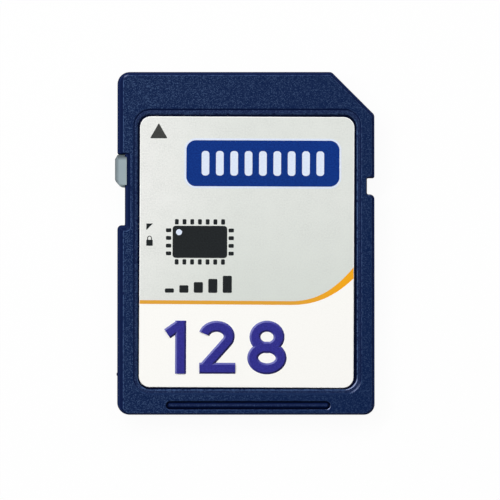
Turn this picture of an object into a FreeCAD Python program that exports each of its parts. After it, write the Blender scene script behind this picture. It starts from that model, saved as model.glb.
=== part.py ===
# Full-size memory card: two moulded covers, a sliding lock tab, a label, and the circuit board inside.
# Frame: millimetres, +Z up. The card lies on its back, label up, with its contact edge towards +Y.
# The origin is the middle of the back face. Left and right are as seen from above, contact edge at the top.
import FreeCAD
import Part
import math
import os

Vector = FreeCAD.Vector

# Card outline
card_width = 24.0
card_length = 32.0
card_thickness = 2.1
rail_thickness = 1.4
rail_width = 0.75
corner_radius = 1.0
left_corner_radius = 1.15
key_leg = 4.0
key_corner_radius = 0.5
small_corner = 0.15
edge_round = 0.12
rail_bevel = 0.12
seam_groove = 0.04

# Lock window in the left rail
window_from_front = 7.7
window_length = 6.62
window_depth = 0.7
window_corner = 0.08
window_rear_round = 0.4

# Notch in the right rail
notch_from_front = 9.9
notch_length = 1.54
notch_depth = 0.7
notch_rear_round = 0.45

# Raised deck of the label face: foot and crest of the sloping step that leads up to it from the ledge
ledge_depth = 0.15
left_ledge = 0.27
left_slope = 0.33
right_ledge = 0.14
right_slope = 0.14
front_ledge = 0.17
front_slope = 0.17
rear_ledge = 0.07
rear_slope = 0.09
window_end_ledge = 0.05
window_end_slope = 0.08
notch_ledge = 0.05
notch_slope = 0.07
crest_round = 0.05

# Label and its two-step recess
label_left_margin = 2.07
label_right_margin = 1.92
label_front_margin = 4.19
label_rear_margin = 2.54
label_thickness = 0.1
label_corner = 1.0
label_bevel = 0.03
label_skew = -0.24
label_gap = 0.18
label_front_gap = 0.21
label_right_gap = 0.26
pocket_depth = 0.25
pocket_bevel = 0.1
shelf_left = 0.28
shelf_right = 0.34
shelf_front = 0.4
shelf_rear = 0.34
shelf_depth = 0.1
shelf_slope = 0.14

# Thumb groove with a rounded bar in it
groove_rear_margin = 0.5
groove_width = 0.75
groove_length = 15.3
groove_offset = 0.21
groove_depth = 0.28
groove_bevel = 0.06
bar_radius = 0.27
bar_drop = 0.06

# Moulding gate mark on the left edge
gate_from_rear = 3.78
gate_radius = 0.25
gate_proud = 0.07

# Walls of the covers
side_wall = 0.35
front_lip = 1.1
key_wall = 0.7
rear_wall = 0.8
inner_corner = 0.4
top_web = 0.25
back_wall = 0.35
back_bevel = 0.15
board_seat_width = 0.8
centre_rib = 0.8

# Contact windows, and the ribs between them
contact_left_margin = 1.575
contact_right_margin = 0.3
contact_rib = 0.6
narrow_rib = 0.275
narrow_channel = 0.95
contact_length = 4.5
side_contact_length = 3.6
channel_corner = 0.2
channel_flare = 0.08
pad_gap = 0.1
pad_thickness = 0.03

# Circuit board and the parts on it
board_thickness = 0.3
board_gap = 0.1
post_radius = 0.4
post_margin = 0.95
flash_width = 17.0
flash_length = 12.0
flash_rear_margin = 1.2
chip_headroom = 0.07
controller_size = 6.0
controller_gap = 1.2
mark_radius = 0.35
mark_depth = 0.04
mark_inset = 0.9
passive_length = 1.0
passive_width = 0.5
passive_height = 0.3
passive_cap = 0.25
passive_swell = 0.02
capacitor_pitch = 1.5
resistor_pitch = 1.3
passive_gap = 0.9

# Lock slider
slider_length = 3.02
slider_proud = 0.22
slider_bevel = 0.2
slider_rear_round = 0.5
slider_end_gap = 0.05
slide_gap = 0.03
slider_front_cut = 0.23
slider_front_run = 0.4
slider_rear_cut = 0.53
slider_rear_run = 0.6
lip_reach = 0.17
lip_gap = 0.02
slider_drop = 0.02
slot_height = 0.25
stem_length = 2.0
stem_gap = 0.02
foot_length = 2.6
foot_thickness = 0.32
foot_overlap = 0.3

# Levels and lines that follow from the sizes
rail_z = card_thickness - rail_thickness
seam_z = rail_z + rail_thickness / 2
ledge_z = card_thickness - ledge_depth
shelf_z = card_thickness - shelf_depth
pocket_z = card_thickness - pocket_depth
ceiling_z = pocket_z - top_web
seat_z = rail_z + pad_thickness
board_top = seat_z + board_thickness
chip_height = ceiling_z - board_top - chip_headroom
half_width = card_width / 2
half_length = card_length / 2
window_front = half_length - window_from_front
window_rear = window_front - window_length
window_x = window_depth - half_width
notch_front = half_length - notch_from_front
notch_rear = notch_front - notch_length
notch_x = half_width - notch_depth
key_sum = half_width + half_length - key_leg
cavity_left = window_x + side_wall
cavity_right = notch_x - side_wall
cavity_front = half_length - front_lip
cavity_rear = rear_wall - half_length
cavity_key = key_sum - key_wall * math.sqrt(2)

# A corner arc takes no more than this share of the shorter side beside it
corner_share = 0.66
least_radius = 0.03
cut_over = 0.5


def corner_rays(corners, z):
    """Each corner of an outline as (point, ray to the last corner, ray to the next, radius)."""
    points = [Vector(x, y, z) for x, y, radius in corners]
    rays = []
    for index, point in enumerate(points):
        back = points[index - 1] - point
        ahead = points[(index + 1) % len(points)] - point
        rays.append((point, back, ahead, corners[index][2]))
    return rays


def rounded_wire(corners, z):
    """Closed wire at height z through (x, y, radius) corners, each rounded by an arc or left sharp."""
    arcs = []
    for point, back, ahead, radius in corner_rays(corners, z):
        half_angle = back.getAngle(ahead) / 2
        reach = min(radius / math.tan(half_angle), corner_share * min(back.Length, ahead.Length))
        fitted = reach * math.tan(half_angle)
        inward = (back.normalize() + ahead.normalize()).normalize()
        middle = point + inward * (fitted / math.sin(half_angle) - fitted)
        arcs.append((point + back * reach, middle, point + ahead * reach))
    edges = []
    for index, (start, middle, end) in enumerate(arcs):
        if start.distanceToPoint(end) > 1e-6:
            edges.append(Part.Arc(start, middle, end).toShape())
        next_start = arcs[(index + 1) % len(arcs)][0]
        if end.distanceToPoint(next_start) > 1e-6:
            edges.append(Part.makeLine(end, next_start))
    return Part.Wire(edges)


def prism(corners, z_low, z_high):
    """Solid with upright walls between two heights."""
    return Part.Face(rounded_wire(corners, z_low)).extrude(Vector(0, 0, z_high - z_low))


def frustum(low_corners, z_low, high_corners, z_high):
    """Solid with straight sloping walls from one outline to another with as many corners."""
    ends = [rounded_wire(low_corners, z_low), rounded_wire(high_corners, z_high)]
    return Part.makeLoft(ends, True, True)


def rectangle(x_low, x_high, y_low, y_high, radius=0.0):
    """Corners of an upright rectangle, counter-clockwise."""
    return [
        (x_low, y_low, radius),
        (x_high, y_low, radius),
        (x_high, y_high, radius),
        (x_low, y_high, radius),
    ]


def surround(corners, left, right, front, rear):
    """Corners of a rectangle grown by its own amount on each side."""
    (x_low, y_low, radius), _, (x_high, y_high, _), _ = corners
    return rectangle(x_low - left, x_high + right, y_low - rear, y_high + front, radius + left)


def grown(corners, amount):
    """Corners of a convex outline with every side moved out by an amount, or in if it is negative."""
    moved = []
    for point, back, ahead, radius in corner_rays(corners, 0):
        half_angle = back.getAngle(ahead) / 2
        outward = (back.normalize() + ahead.normalize()).normalize() * -1
        shifted = point + outward * (amount / math.sin(half_angle))
        moved.append((shifted.x, shifted.y, max(radius + amount, least_radius) if radius else 0.0))
    return moved


def block(x_low, x_high, y_low, y_high, z_low, z_high):
    """Plain box between two corners."""
    return Part.makeBox(x_high - x_low, y_high - y_low, z_high - z_low, Vector(x_low, y_low, z_low))


def edges_at(solid, z):
    """Edges of a solid that lie wholly at one height."""
    level = []
    for edge in solid.Edges:
        box = edge.BoundBox
        if abs(box.ZMin - z) < 1e-5 and abs(box.ZMax - z) < 1e-5:
            level.append(edge)
    return level


def shrunk(radius, inset):
    """Radius of an outer corner whose sides have been drawn in."""
    return max(radius - inset, least_radius)


def card_outline(left=0.0, right=0.0, front=0.0, rear=0.0, window=0.0, window_end=0.0, notch=0.0):
    """Corners of the card from above, counter-clockwise, each side drawn in by its own amount.

    The lock window has one amount for its side and rear, and one for its front end.
    """
    x_left = left - half_width
    x_right = half_width - right
    y_front = half_length - front
    y_rear = rear - half_length
    key_line = key_sum - front * math.sqrt(2)
    return [
        (x_left, y_rear, shrunk(left_corner_radius, max(left, rear))),
        (x_right, y_rear, shrunk(corner_radius, max(right, rear))),
        (x_right, notch_rear - notch, shrunk(notch_rear_round, max(right, notch))),
        (notch_x - notch, notch_rear - notch, small_corner + notch),
        (notch_x - notch, notch_front + notch, small_corner + notch),
        (x_right, notch_front + notch, small_corner),
        (x_right, key_line - x_right, shrunk(key_corner_radius, max(right, front))),
        (key_line - y_front, y_front, shrunk(key_corner_radius, front)),
        (x_left, y_front, shrunk(left_corner_radius, max(left, front))),
        (x_left, window_front + window_end, small_corner),
        (window_x + window, window_front + window_end, window_corner + window_end),
        (window_x + window, window_rear - window, window_corner + window),
        (x_left, window_rear - window, shrunk(window_rear_round, window)),
    ]


def key_outline(x_low, x_high, y_low, y_high, key_line, radius):
    """Corners of a rectangle whose front right corner is cut off along x + y = key_line."""
    return [
        (x_low, y_low, radius),
        (x_high, y_low, radius),
        (x_high, key_line - x_high, radius),
        (key_line - y_high, y_high, radius),
        (x_low, y_high, radius),
    ]


def cavity_outline():
    """Corners of the room inside the covers."""
    return key_outline(cavity_left, cavity_right, cavity_rear, cavity_front, cavity_key, inner_corner)


def contact_windows():
    """Window (x_low, x_high, y_rear, y_front) of each contact, in order from the key, the side one last."""
    row_left = rail_width - half_width + contact_left_margin
    row_right = half_width - rail_width - contact_right_margin
    ribs = 7 * contact_rib + narrow_rib
    channel = (row_right - row_left - ribs - narrow_channel) / 8
    pitch = channel + contact_rib
    windows = []
    for place in range(7):
        x_high = row_right - pitch * (place + 1)
        windows.append((x_high - channel, x_high, cavity_front - contact_length, cavity_front))
    windows.append((row_left, row_left + narrow_channel, cavity_front - contact_length, cavity_front))
    side_front = cavity_key - row_right - pad_gap
    windows.append((row_right - channel, row_right, side_front - side_contact_length, side_front))
    return windows


def label_outline():
    """Corners of the label before it is turned askew."""
    x_low = label_left_margin - half_width
    x_high = half_width - label_right_margin
    y_low = label_rear_margin - half_length
    y_high = half_length - label_front_margin
    return rectangle(x_low, x_high, y_low, y_high, label_corner)


def post_places():
    """Places of the posts that hold the board down: rear corners, front left corner, beside the key."""
    x_left = cavity_left + board_gap + post_margin
    x_right = cavity_right - board_gap - post_margin
    y_front = cavity_front - board_gap - post_margin
    y_rear = cavity_rear + board_gap + post_margin
    x_key = cavity_key - y_front - 2 * post_margin
    return [(x_left, y_rear), (x_right, y_rear), (x_left, y_front), (x_key, y_front)]


def make_top_cover():
    """Label half of the moulding: rim, raised deck, label recess, thumb groove and the hollow below."""
    rim = prism(card_outline(), seam_z, ledge_z)
    rim = rim.makeFillet(edge_round, edges_at(rim, ledge_z))
    rim = rim.makeChamfer(seam_groove, edges_at(rim, seam_z))
    ledges = [left_ledge, right_ledge, front_ledge, rear_ledge, left_ledge, window_end_ledge, notch_ledge]
    slopes = [left_slope, right_slope, front_slope, rear_slope, left_slope, window_end_slope, notch_slope]
    foot = card_outline(*ledges)
    crest = card_outline(*[ledge + slope for ledge, slope in zip(ledges, slopes)])
    deck = frustum(foot, ledge_z, crest, card_thickness)
    deck = deck.makeFillet(crest_round, edges_at(deck, card_thickness))
    plinth = prism(foot, ledge_z - edge_round, ledge_z)
    cover = rim.fuse(plinth).fuse(deck)

    # Label recess: a shallow shelf with sloping sides, and the pocket, in whose rear left corner the label sits
    pocket = surround(label_outline(), label_gap, label_right_gap, label_front_gap, label_gap)
    shelf = surround(pocket, shelf_left, shelf_right, shelf_front, shelf_rear)
    cover = cover.cut(frustum(shelf, shelf_z, grown(shelf, shelf_slope), card_thickness))
    cover = cover.cut(prism(pocket, pocket_z, card_thickness))
    cover = cover.cut(frustum(pocket, shelf_z - pocket_bevel, grown(pocket, pocket_bevel), shelf_z))

    # Thumb groove, with its bar lying just under the deck
    groove_y = groove_rear_margin + groove_width / 2 - half_length
    groove_left = groove_offset - groove_length / 2
    groove_right = groove_offset + groove_length / 2
    groove_low = groove_y - groove_width / 2
    groove_high = groove_y + groove_width / 2
    slot = rectangle(groove_left, groove_right, groove_low, groove_high, groove_width / 2)
    cover = cover.cut(prism(slot, card_thickness - groove_depth, card_thickness))
    slot_rim = card_thickness - groove_bevel
    cover = cover.cut(frustum(slot, slot_rim, grown(slot, groove_bevel), card_thickness))
    bar_z = card_thickness - bar_drop - bar_radius
    bar_start = groove_left + groove_width / 2
    bar_end = groove_right - groove_width / 2
    bar_foot = Vector(bar_start, groove_y, bar_z)
    bar = Part.makeCylinder(bar_radius, bar_end - bar_start, bar_foot, Vector(1, 0, 0))
    for x in (bar_start, bar_end):
        bar = bar.fuse(Part.makeSphere(bar_radius, Vector(x, groove_y, bar_z)))
    cover = cover.fuse(bar)

    # Hollow for the board and its parts, and the posts that hold the board down
    cover = cover.cut(prism(cavity_outline(), seam_z - cut_over, ceiling_z))
    post_height = ceiling_z - board_top + top_web / 2
    for x, y in post_places():
        cover = cover.fuse(Part.makeCylinder(post_radius, post_height, Vector(x, y, board_top)))

    # Gate mark
    gate_x = gate_radius - gate_proud - half_width
    gate_y = gate_from_rear - half_length
    gate_low = seam_z + seam_groove
    gate_height = ledge_z - edge_round - gate_low
    gate = Part.makeCylinder(gate_radius, gate_height, Vector(gate_x, gate_y, gate_low))
    return cover.fuse(gate).removeSplitter()


def make_bottom_cover():
    """Contact half of the moulding: side rails, raised back, contact windows and the seat of the board."""
    rails = prism(card_outline(), rail_z, seam_z)
    rails = rails.makeChamfer(rail_bevel, edges_at(rails, rail_z))
    rails = rails.makeChamfer(seam_groove, edges_at(rails, seam_z))
    back_side = half_width - rail_width
    back = key_outline(-back_side, back_side, -half_length, half_length, key_sum, key_corner_radius)
    back = prism(back, 0, rail_z + rail_bevel)
    back = back.makeChamfer(back_bevel, edges_at(back, 0))
    cover = rails.fuse(back)

    # Room for the board, and two shallower hollows behind the contacts with a rib between them
    cover = cover.cut(prism(cavity_outline(), seat_z, seam_z + cut_over))
    hollow_front = min(window[2] for window in contact_windows()) - board_seat_width
    hollow_rear = cavity_rear + board_seat_width
    hollow_left = cavity_left + board_seat_width
    hollow_right = cavity_right - board_seat_width
    for x_low, x_high in ((hollow_left, -centre_rib / 2), (centre_rib / 2, hollow_right)):
        hollow = rectangle(x_low, x_high, hollow_rear, hollow_front, inner_corner)
        cover = cover.cut(prism(hollow, back_wall, seat_z + cut_over))

    # Contact windows: a channel flared at the back face that runs out at the front, and its opening
    for x_low, x_high, y_rear, y_front in contact_windows():
        channel = rectangle(x_low, x_high, y_rear, half_length + cut_over, channel_corner)
        cover = cover.cut(frustum(grown(channel, channel_flare), 0, channel, channel_flare))
        cover = cover.cut(prism(channel, 0, rail_z))
        cover = cover.cut(prism(rectangle(x_low, x_high, y_rear, y_front), rail_z, seat_z))

    # Slot for the stem of the lock slider, in the wall behind the lock window
    slot_front = slider_front - slider_length / 2 + stem_length / 2 + slider_end_gap
    slot_rear = slot_front - slider_travel - stem_length - 2 * slider_end_gap
    slot_low = seam_z - slot_height
    slot = block(window_x - cut_over, cavity_left + cut_over, slot_rear, slot_front, slot_low, seam_z)
    return cover.cut(slot).removeSplitter()


def make_lock_slider():
    """Write-lock tab: bevelled block, lip over the ledge, stem through the wall and the foot inside it."""
    x_out = -half_width - slider_proud
    x_in = window_x - slide_gap
    y_front = slider_front
    y_rear = slider_front - slider_length
    y_mid = (y_front + y_rear) / 2
    z_low = rail_z + slider_end_gap
    z_high = card_thickness - slider_drop
    plan = [
        (x_in, y_rear, 0.0),
        (x_in, y_front, 0.0),
        (x_out + slider_front_cut, y_front, 0.0),
        (x_out, y_front - slider_front_run, 0.0),
        (x_out, y_rear + slider_rear_run, slider_rear_round),
        (x_out + slider_rear_cut, y_rear, slider_rear_round),
    ]
    tab = prism(plan, z_low, z_high)
    rim = [edge for edge in edges_at(tab, z_high) if edge.BoundBox.XMin < x_in - 1e-5]
    tab = tab.makeChamfer(slider_bevel, rim)
    lip_z = ledge_z + lip_gap
    lip_x = window_x + lip_reach
    lip = block(x_in - slider_bevel, lip_x, y_rear + slider_bevel, y_front - slider_bevel, lip_z, z_high)
    foot_x = cavity_left + slide_gap
    slot_low = seam_z - slot_height
    stem_low = y_mid - stem_length / 2
    stem_high = y_mid + stem_length / 2
    stem = block(x_in, foot_x, stem_low, stem_high, slot_low + stem_gap, seam_z - stem_gap)
    foot_low = y_mid - foot_length / 2
    foot_high = y_mid + foot_length / 2
    foot_end = foot_x + foot_thickness
    foot = block(foot_x, foot_end, foot_low, foot_high, slot_low - foot_overlap, ceiling_z - slide_gap)
    return tab.fuse(lip).fuse(stem).fuse(foot).removeSplitter()


def make_front_label():
    """Printed label, stuck in its pocket a little askew."""
    label = prism(label_outline(), pocket_z, pocket_z + label_thickness)
    label = label.makeChamfer(label_bevel, edges_at(label, pocket_z + label_thickness))
    middle = label.BoundBox.Center
    label.rotate(Vector(middle.x, middle.y, 0), Vector(0, 0, 1), label_skew)
    return label


def make_circuit_board():
    """Board that fills the room inside, with a clearance cut for the foot of the lock slider."""
    board = prism(grown(cavity_outline(), -board_gap), seat_z, board_top)
    cut_right = cavity_left + foot_thickness + 2 * slide_gap + board_gap
    cut_low = window_rear - board_gap
    cut_high = window_front + board_gap
    return board.cut(block(cavity_left, cut_right, cut_low, cut_high, seat_z, board_top))


def make_contact_pad(window):
    """Plated contact on the underside of the board, a little smaller than its window."""
    x_low, x_high, y_rear, y_front = window
    return prism(grown(rectangle(x_low, x_high, y_rear, y_front), -pad_gap), rail_z, seat_z)


def make_chip(x, y, width, length):
    """Flat moulded package with a round first-pin mark."""
    x_low = x - width / 2
    y_high = y + length / 2
    z_high = board_top + chip_height
    body = block(x_low, x_low + width, y_high - length, y_high, board_top, z_high)
    mark_foot = Vector(x_low + mark_inset, y_high - mark_inset, z_high - mark_depth)
    return body.cut(Part.makeCylinder(mark_radius, mark_depth, mark_foot))


def make_passive(x, y):
    """Small two-ended part lying along Y, its end caps a little fatter than the body."""
    half = passive_length / 2
    wide = passive_width / 2
    slim = wide - passive_swell
    z_high = board_top + passive_height
    body = block(x - slim, x + slim, y - half, y + half, board_top, z_high - passive_swell)
    for low in (y - half, y + half - passive_cap):
        body = body.fuse(block(x - wide, x + wide, low, low + passive_cap, board_top, z_high))
    return body.removeSplitter()


# Travel of the slider: it rests at the front end of its window and moves to the rear end
slider_front = window_front - slider_end_gap
slider_travel = window_length - slider_length - 2 * slider_end_gap

# Rows of parts on the board, counted forwards from its rear edge
flash_y = cavity_rear + board_gap + flash_rear_margin + flash_length / 2
controller_y = flash_y + flash_length / 2 + controller_gap + controller_size / 2
capacitor_y = controller_y
resistor_y = controller_y + controller_size / 2 + passive_gap + passive_length / 2

shapes = {
    "top_cover": make_top_cover(),
    "bottom_cover": make_bottom_cover(),
    "lock_slider": make_lock_slider(),
    "front_label": make_front_label(),
    "circuit_board": make_circuit_board(),
    "flash_chip": make_chip(0.0, flash_y, flash_width, flash_length),
    "controller_chip": make_chip(0.0, controller_y, controller_size, controller_size),
}
for number, window in enumerate(contact_windows(), 1):
    shapes[f"contact_pad_{number}"] = make_contact_pad(window)
for number in range(1, 5):
    capacitor_x = controller_size / 2 + passive_gap + capacitor_pitch * (number - 1)
    shapes[f"capacitor_{number}"] = make_passive(capacitor_x, capacitor_y)
for number in range(1, 6):
    shapes[f"resistor_{number}"] = make_passive(resistor_pitch * (number - 3), resistor_y)

os.makedirs("parts", exist_ok=True)
for name, shape in shapes.items():
    shape.exportStep(f"parts/{name}.step")
    box = shape.BoundBox
    print(f"{name}: {len(shape.Solids)} solid, valid {shape.isValid()}, volume {shape.Volume:.3f}")
    print(f"    size {box.XLength:.3f} x {box.YLength:.3f} x {box.ZLength:.3f}, lowest {box.ZMin:.3f}")
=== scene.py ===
# %% [markdown]
# # A memory card, dressed for its portrait
# The solids of this card come from its CAD frame: two moulded covers, a sliding lock tab, a label, and
# the board and contacts between the covers. This lesson adds what a drawing leaves out: the grain of the
# moulding, the ink on the label, the shine of the contacts, and a small white studio. The frame is loaded
# first. The card lies on its back at z = 0, label up, with its contact edge, the front, towards +Y. Its
# lengths are written in millimetres, and MM turns them into the frame's metres.

import bmesh
import bpy
import numpy as np
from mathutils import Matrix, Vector


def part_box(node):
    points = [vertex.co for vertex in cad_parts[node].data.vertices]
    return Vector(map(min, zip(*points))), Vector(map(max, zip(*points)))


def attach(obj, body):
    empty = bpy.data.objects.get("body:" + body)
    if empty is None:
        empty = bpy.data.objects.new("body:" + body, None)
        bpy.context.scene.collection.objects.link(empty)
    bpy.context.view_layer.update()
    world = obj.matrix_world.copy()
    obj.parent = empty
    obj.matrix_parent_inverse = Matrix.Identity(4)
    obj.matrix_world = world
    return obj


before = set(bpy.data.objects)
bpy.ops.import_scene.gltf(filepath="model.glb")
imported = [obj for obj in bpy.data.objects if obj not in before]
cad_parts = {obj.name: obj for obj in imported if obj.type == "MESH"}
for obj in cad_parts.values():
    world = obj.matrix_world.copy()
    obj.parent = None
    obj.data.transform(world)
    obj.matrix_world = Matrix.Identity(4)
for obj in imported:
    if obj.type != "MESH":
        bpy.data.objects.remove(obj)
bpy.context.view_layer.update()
MM = 0.001
print("nodes in the frame:", len(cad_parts))

# %% [markdown]
# ## Where the label lies
# The ink sits on the label, so the label is measured and not guessed. It was stuck on by eye, and lies a
# quarter of a degree askew in its recess. The ink was printed before that, so it is laid out straight, in
# millimetres from the middle of the card, and then turned with the label about the label's own middle.

# %% Measure the label
LABEL_TURN = np.radians(-0.24)
label_low, label_high = [np.array(corner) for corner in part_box("front_label")]
label_middle = (label_low + label_high)[:2] / 2 / MM
label_top = label_high[2] / MM
print("label middle", label_middle.round(3), "top", round(label_top, 3), "mm")


def on_label(plan):
    """Turns points (..., 2) of the straight layout with the label, about its middle: p' = m + R (p - m)."""
    cosine, sine = np.cos(LABEL_TURN), np.sin(LABEL_TURN)
    turn = np.array([[cosine, -sine], [sine, cosine]])
    return label_middle + (plan - label_middle) @ turn.T


# %% [markdown]
# ## Shader maths as plain sums
# A finish is a web of nodes. Wiring each Math node by hand buries the idea, so a small class wraps a
# socket and lets the usual operators add the nodes: `1 - mask` or `grain * 0.3 + 0.4` reads as it is
# meant. The sum that is needed most often, a straight ramp between two places, gets a method of its own.

# %% A socket that can be added up


def plug(tree, value, target):
    """Links a Wire to a socket, or sets the socket to a plain value."""
    if isinstance(value, Wire):
        tree.links.new(value.socket, target)
    else:
        target.default_value = value


class Wire:
    """An output socket that takes part in arithmetic: each operator adds one Math node."""

    def __init__(self, tree, socket):
        self.tree = tree
        self.socket = socket

    def math(self, operation, *values):
        """A Math node with these values in its sockets, in this order."""
        node = self.tree.nodes.new("ShaderNodeMath")
        node.operation = operation
        for target, value in zip(node.inputs, values):
            plug(self.tree, value, target)
        return Wire(self.tree, node.outputs[0])

    def __add__(self, other):
        return self.math("ADD", self, other)

    def __radd__(self, other):
        return self.math("ADD", other, self)

    def __sub__(self, other):
        return self.math("SUBTRACT", self, other)

    def __rsub__(self, other):
        return self.math("SUBTRACT", other, self)

    def __mul__(self, other):
        return self.math("MULTIPLY", self, other)

    def __rmul__(self, other):
        return self.math("MULTIPLY", other, self)

    def __gt__(self, other):
        return self.math("GREATER_THAN", self, other)

    def __lt__(self, other):
        return self.math("LESS_THAN", self, other)

    def __abs__(self):
        return self.math("ABSOLUTE", self)

    def root(self):
        """The square root."""
        return self.math("SQRT", self)

    def at_least(self, low):
        """This value, or low where that is larger."""
        return self.math("MAXIMUM", self, low)

    def clamp(self):
        """This value held between 0 and 1."""
        return self.math("MINIMUM", self.at_least(0.0), 1.0)

    def ramp(self, start, end):
        """0 at start, 1 at end, straight between and level beyond: (w - start) / (end - start), clamped."""
        return ((self - start) * (1 / (end - start))).clamp()


print("operators on sockets ready")

# %% [markdown]
# ## One method for every other node
# A second class holds one node tree and makes every other kind of node in one method. A node's settings
# come first, because they decide which sockets it has, and then each socket gets a value or a link.
# Colours are blended by a Mix node, because a Math node would turn them grey.

# %% The node tree
# A Mix node's colour sockets by number, because its other sockets have the same names
MIX_FIRST, MIX_SECOND, MIX_COLOUR = 6, 7, 2


class Tree:
    """A node tree, with one method for any node."""

    def __init__(self, tree):
        self.tree = tree

    def node(self, kind, settings=None, inputs=None, output=0):
        """A node of this kind: its settings first, stops for a ramp among them, then its sockets."""
        made = self.tree.nodes.new(kind)
        for name, value in (settings or {}).items():
            if name == "stops":
                self.set_stops(made.color_ramp, value)
            else:
                setattr(made, name, value)
        for name, value in (inputs or {}).items():
            plug(self.tree, value, made.inputs[name])
        return Wire(self.tree, made.outputs[output])

    def set_stops(self, ramp, stops):
        """Steps of colour: each stop is (position, colour), and holds as far as the next one."""
        ramp.interpolation = "CONSTANT"
        ramp.elements.remove(ramp.elements[1])
        ramp.elements[0].position, ramp.elements[0].color = stops[0]
        for position, colour in stops[1:]:
            ramp.elements.new(position).color = colour

    def mix(self, share, first, second):
        """Colour that goes from first to second as share goes from 0 to 1."""
        inputs = {"Factor": share, MIX_FIRST: first, MIX_SECOND: second}
        return self.node("ShaderNodeMix", {"data_type": "RGBA"}, inputs, output=MIX_COLOUR)


print("colour sockets of a Mix node:", MIX_FIRST, "and", MIX_SECOND)

# %% [markdown]
# ## A finish
# Every surface of the card is one Principled shader. What is the same all over is set on its own
# sockets, and only what changes from place to place is wired. Patterns read Object coordinates, so a
# grain has its real size in millimetres. Images on unwrapped faces would be the other way, but they
# blur close up and need files. Colours are written as the eye reads them from a screen, 0 to 255, and
# turned into linear light.

# %% The finish class
UP = (0.0, 0.0, 1.0)
# How far a normal points up: less than the first is a wall, more than the second is level
STEEP, LEVEL = 0.93, 0.97


def paint(red, green, blue):
    """Linear colour of a display colour: ((c + 0.055) / 1.055) ** 2.4 above the toe, c / 12.92 below it."""
    display = np.array([red, green, blue]) / 255
    linear = np.where(display > 0.04045, ((display + 0.055) / 1.055) ** 2.4, display / 12.92)
    return (*linear.tolist(), 1.0)


class Finish(Tree):
    """A material under construction, with its Principled surface."""

    def __init__(self, name, plain):
        self.material = bpy.data.materials.new(name)
        self.material.use_nodes = True
        super().__init__(self.material.node_tree)
        self.surface = self.tree.nodes["Principled BSDF"]
        for socket, value in plain.items():
            self.surface.inputs[socket].default_value = value

    def feed(self, socket, wire):
        """Wires what changes from place to place to one socket of the surface."""
        self.tree.links.new(wire.socket, self.surface.inputs[socket])

    def place(self):
        """Object coordinates, in metres."""
        return self.node("ShaderNodeTexCoord", output="Object")

    def axis(self, letter):
        """One Object coordinate, in millimetres."""
        return self.node("ShaderNodeSeparateXYZ", inputs={"Vector": self.place()}, output=letter) * (1 / MM)

    def facing(self, direction):
        """How far a face looks in a direction: the dot product of its normal and that way's unit vector."""
        normal = self.node("ShaderNodeNewGeometry", output="True Normal")
        unit = np.array(direction) / np.linalg.norm(direction)
        inputs = {0: normal, 1: unit.tolist()}
        return self.node("ShaderNodeVectorMath", {"operation": "DOT_PRODUCT"}, inputs, output="Value")

    def level_face(self):
        """1 on faces that lie level, up or down, and 0 on walls: a steep ramp at 18 degrees of tilt."""
        return abs(self.facing(UP)).ramp(STEEP, LEVEL)

    def noise(self, size, detail=2.0, stretch=(1.0, 1.0, 1.0)):
        """Cloudy pattern from 0 to 1 with spots of the given size in mm, stretched along the axes."""
        scale = [1 / times for times in stretch]
        scaled = self.node("ShaderNodeMapping", inputs={"Vector": self.place(), "Scale": scale})
        inputs = {"Vector": scaled, "Scale": 1 / (size * MM), "Detail": detail}
        return self.node("ShaderNodeTexNoise", inputs=inputs)

    def roughen(self, pattern, smooth, rough):
        """Roughness that goes from smooth to rough as the pattern goes from 0 to 1."""
        self.feed("Roughness", pattern * (rough - smooth) + smooth)

    def emboss(self, pattern, depth):
        """Bump of the given depth in millimetres."""
        inputs = {"Height": pattern, "Strength": 1.0, "Distance": depth * MM}
        self.feed("Normal", self.node("ShaderNodeBump", inputs=inputs))

    def dress(self, *names):
        """Gives this finish to CAD nodes."""
        for name in names:
            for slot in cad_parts[name].material_slots:
                slot.material = self.material
        print(f"{self.material.name}: on {len(names)} CAD nodes")


print("white in linear light:", paint(255, 255, 255))

# %% [markdown]
# ## How far from the label
# Two finishes change at the label's edge: the film's own rim, and the bevel of the pocket round it. Both
# need the distance to a rounded rectangle. That is a short sum: take the label's inner rectangle, shrunk
# by the corner radius, measure how far a point lies beyond it, and take this from the radius. It counts
# up inwards, stops at the radius, and is negative outside.

# %% Distance to the label's outline
LABEL_SIZE = np.array([20.01, 25.27])
LABEL_CORNER = 1.0


def edge_distance(finish):
    """Way in from the label's outline, in mm: r - |max(|p| - (half - r), 0)|, p turned as the label is."""
    x = finish.axis("X") - label_middle[0]
    y = finish.axis("Y") - label_middle[1]
    along = x * np.cos(LABEL_TURN) + y * np.sin(LABEL_TURN)
    across = y * np.cos(LABEL_TURN) - x * np.sin(LABEL_TURN)
    inner = LABEL_SIZE / 2 - LABEL_CORNER
    past_x = (abs(along) - inner[0]).at_least(0.0)
    past_y = (abs(across) - inner[1]).at_least(0.0)
    return LABEL_CORNER - (past_x * past_x + past_y * past_y).root()


print("label outline", LABEL_SIZE, "mm, corners", LABEL_CORNER)

# %% [markdown]
# ## Painted shade and highlights on the covers' walls
# Both covers are navy plastic. The walls and slopes of their steps came off milled steel and are matt;
# they are painted a deep navy that stands for the shade they lie in. Thin lines along the crest of each
# wall, and along the bevel of the label's pocket, are painted pale as highlights of the strip lamp: full
# where a line faces the front left, towards the lamp, and weaker elsewhere. In the pocket only the crests
# that face left or right get them. Where a line looks squarely to the front left, as its round corners do,
# the painted highlight is brightest. A noise breaks the lines up into spots. The pocket's rear step looks
# to the front, towards the lamps, and is painted lighter, as light falls on it. All of this could be
# painted on the mesh by hand, but masks of height, direction and distance keep each line on its own edge.

# %% Navy walls with painted shade and highlights
# The walls' deep navy is painted shade; the colours after it are painted light and highlights
DEEP_SHADED_NAVY = paint(1, 19, 60)
PAINTED_LIT_NAVY = paint(16, 36, 74)
HIGHLIGHT_NAVY = paint(60, 83, 124)
BRIGHTEST_HIGHLIGHT_NAVY = paint(146, 158, 196)
LEFT, FRONT, FRONT_LEFT = (-1.0, 0.0, 0.0), (0.0, 1.0, 0.0), (-1.0, 1.0, 0.0)
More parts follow.
